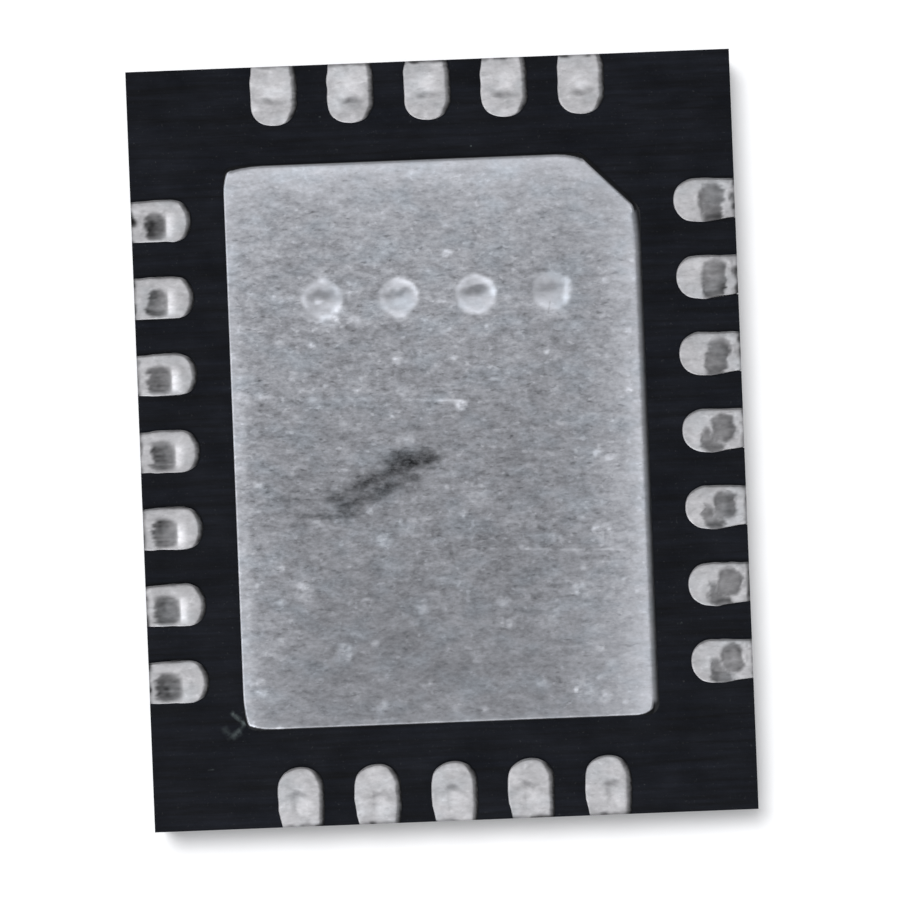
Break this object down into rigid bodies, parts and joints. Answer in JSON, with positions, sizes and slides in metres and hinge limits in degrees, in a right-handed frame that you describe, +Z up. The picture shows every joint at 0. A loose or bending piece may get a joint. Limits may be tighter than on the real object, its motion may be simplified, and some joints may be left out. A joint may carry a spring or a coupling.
{
  "type": "qfn chip",
  "caption": "Flat leadless chip package: black moulded block with a large bare pad with one cut corner, rounded solder lands along its edges, and a wired die inside.",
  "frame": {"origin": "middle of the marking face, which the package lies on", "axes": "+Z up, out of the soldering side; +Y along the package's long sides, towards the short side at the pad's cut corner; +X towards the long side at the pad's cut corner"},
  "size_m": [0.004, 0.005, 0.0008],
  "materials": {
    "mould_compound": "satin",
    "tin_plate": "satin",
    "die_adhesive": "matte",
    "silicon": "polished",
    "bond_gold": "polished"
  },
  "bodies": {
    "root": {"mould_body": "mould_compound", "die_paddle": "tin_plate", "die_attach": "die_adhesive", "die": "silicon", "lead_01": "tin_plate", "lead_02": "tin_plate", "lead_03": "tin_plate", "lead_04": "tin_plate", "lead_05": "tin_plate", "lead_06": "tin_plate", "lead_07": "tin_plate", "lead_08": "tin_plate", "lead_09": "tin_plate", "lead_10": "tin_plate", "lead_11": "tin_plate", "lead_12": "tin_plate", "lead_13": "tin_plate", "lead_14": "tin_plate", "lead_15": "tin_plate", "lead_16": "tin_plate", "lead_17": "tin_plate", "lead_18": "tin_plate", "lead_19": "tin_plate", "lead_20": "tin_plate", "lead_21": "tin_plate", "lead_22": "tin_plate", "lead_23": "tin_plate", "lead_24": "tin_plate", "bond_wire_01": "bond_gold", "bond_wire_02": "bond_gold", "bond_wire_03": "bond_gold", "bond_wire_04": "bond_gold", "bond_wire_05": "bond_gold", "bond_wire_06": "bond_gold", "bond_wire_07": "bond_gold", "bond_wire_08": "bond_gold", "bond_wire_09": "bond_gold", "bond_wire_10": "bond_gold", "bond_wire_11": "bond_gold", "bond_wire_12": "bond_gold", "bond_wire_13": "bond_gold", "bond_wire_14": "bond_gold", "bond_wire_15": "bond_gold", "bond_wire_16": "bond_gold", "bond_wire_17": "bond_gold", "bond_wire_18": "bond_gold", "bond_wire_19": "bond_gold", "bond_wire_20": "bond_gold", "bond_wire_21": "bond_gold", "bond_wire_22": "bond_gold", "bond_wire_23": "bond_gold", "bond_wire_24": "bond_gold"}
  },
  "joints": []
}
